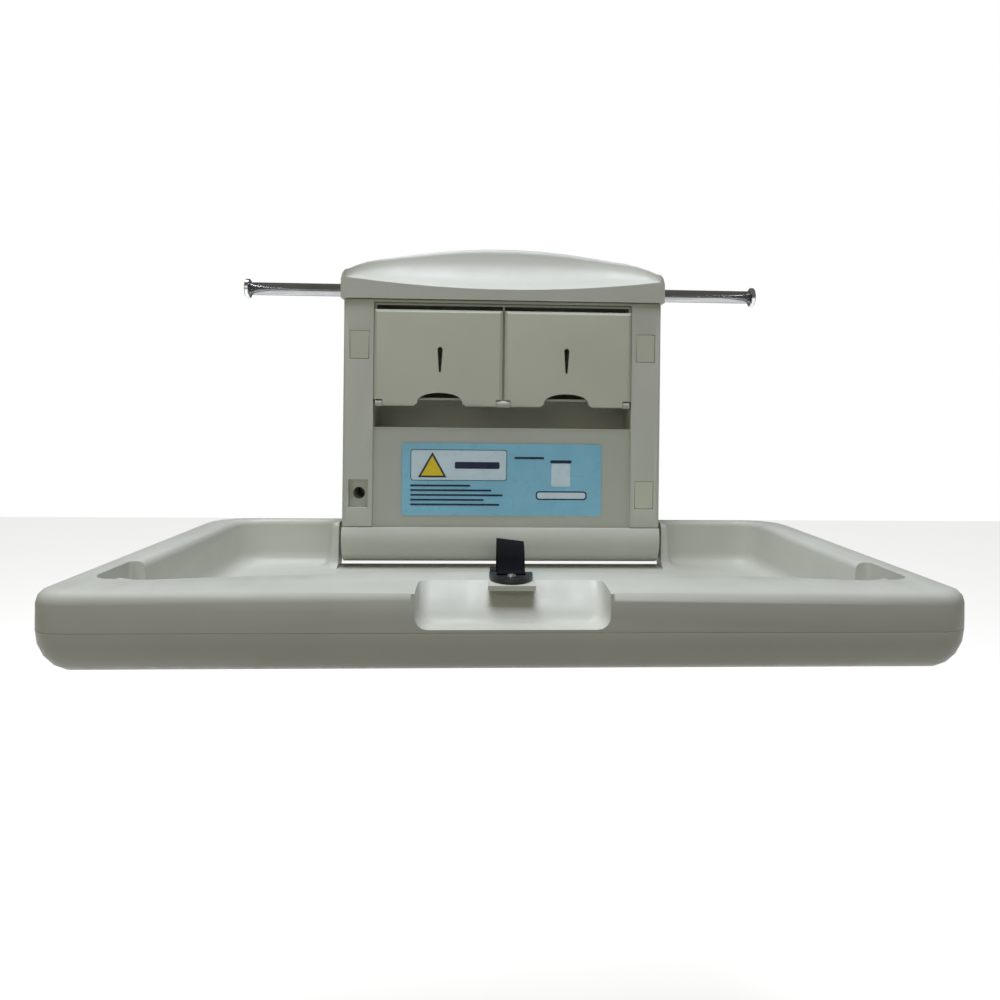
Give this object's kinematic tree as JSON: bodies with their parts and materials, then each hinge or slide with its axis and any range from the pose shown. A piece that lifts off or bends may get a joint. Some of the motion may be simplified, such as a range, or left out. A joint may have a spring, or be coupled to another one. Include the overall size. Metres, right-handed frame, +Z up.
{
  "type": "fold-down baby changing table",
  "caption": "Wall-mounted changing table: fold-down tray with well and handle, liner dispenser, hood, bag rods and safety belt.",
  "frame": {"origin": "on the back face of the back plate, on the centre line, level with the tray's hinge axis", "axes": "+Y into the wall, +X to the right, +Z up"},
  "size_m": [0.87, 0.5674, 0.4949],
  "materials": {
    "shell_plastic": "warm light grey, fine moulded grain",
    "cover_plastic": "warm light grey, slightly greener than the shells",
    "zinc_steel": "zinc plated",
    "nylon": "plain moulded",
    "chrome": "polished",
    "black_plastic": "fine grain",
    "webbing": "woven polyester webbing",
    "label": "printed film on a thin plate"
  },
  "bodies": {
    "wall_unit": {"back_plate": "zinc_steel", "housing": "shell_plastic", "hood": "shell_plastic", "hinge_barrel": "shell_plastic", "left_hinge_bearing": "nylon", "right_hinge_bearing": "nylon", "damper_spring": "zinc_steel", "label_plate": "label", "cover_bottom_right": "cover_plastic", "cover_top_left": "cover_plastic", "cover_top_right": "cover_plastic", "wall_screw_bottom_left": "zinc_steel", "wall_screw_bottom_right": "zinc_steel", "wall_screw_top_left": "zinc_steel", "wall_screw_top_right": "zinc_steel", "liner_bin": "shell_plastic", "left_door_pin_inner": "zinc_steel", "left_door_pin_outer": "zinc_steel", "right_door_pin_inner": "zinc_steel", "right_door_pin_outer": "zinc_steel", "left_rod_bush": "nylon", "right_rod_bush": "nylon", "left_rod_block": "nylon", "right_rod_block": "nylon"},
    "tray": {"tray_upper": "shell_plastic", "tray_lower": "shell_plastic", "hinge_shaft": "zinc_steel", "floor_plate": "zinc_steel", "left_side_bar": "zinc_steel", "right_side_bar": "zinc_steel", "strap_bracket": "black_plastic", "strap_screw": "zinc_steel", "front_strap": "webbing", "rear_strap": "webbing", "buckle_socket": "black_plastic", "buckle_tongue": "black_plastic", "rear_anchor": "black_plastic", "rear_anchor_screw": "zinc_steel", "tray_screw_left_mid": "zinc_steel", "tray_screw_right_mid": "zinc_steel", "tray_screw_left_rear": "zinc_steel", "tray_screw_right_rear": "zinc_steel", "tray_screw_left_front": "zinc_steel", "tray_screw_right_front": "zinc_steel"},
    "left_rod": {"left_rod": "chrome", "left_rod_knob": "chrome"},
    "right_rod": {"right_rod": "chrome", "right_rod_knob": "chrome"},
    "left_door": {"left_liner_door": "cover_plastic"},
    "right_door": {"right_liner_door": "cover_plastic"}
  },
  "joints": [
    {"name": "tray_fold", "type": "hinge", "parent": "wall_unit", "child": "tray", "pos_m": [0, -0.052, 0], "axis": [1, 0, 0], "range_deg": [-90, 0], "deforming": ["front_strap"]},
    {"name": "left_rod_slide", "type": "slide", "parent": "wall_unit", "child": "left_rod", "axis": [-1, 0, 0], "range_m": [-0.1385, 0]},
    {"name": "right_rod_slide", "type": "slide", "parent": "wall_unit", "child": "right_rod", "axis": [1, 0, 0], "range_m": [-0.1385, 0]},
    {"name": "left_door_hinge", "type": "hinge", "parent": "wall_unit", "child": "left_door", "pos_m": [0, -0.0815, 0.1995], "axis": [1, 0, 0], "range_deg": [0, 75]},
    {"name": "right_door_hinge", "type": "hinge", "parent": "wall_unit", "child": "right_door", "pos_m": [0, -0.0815, 0.1995], "axis": [1, 0, 0], "range_deg": [0, 75]}
  ]
}
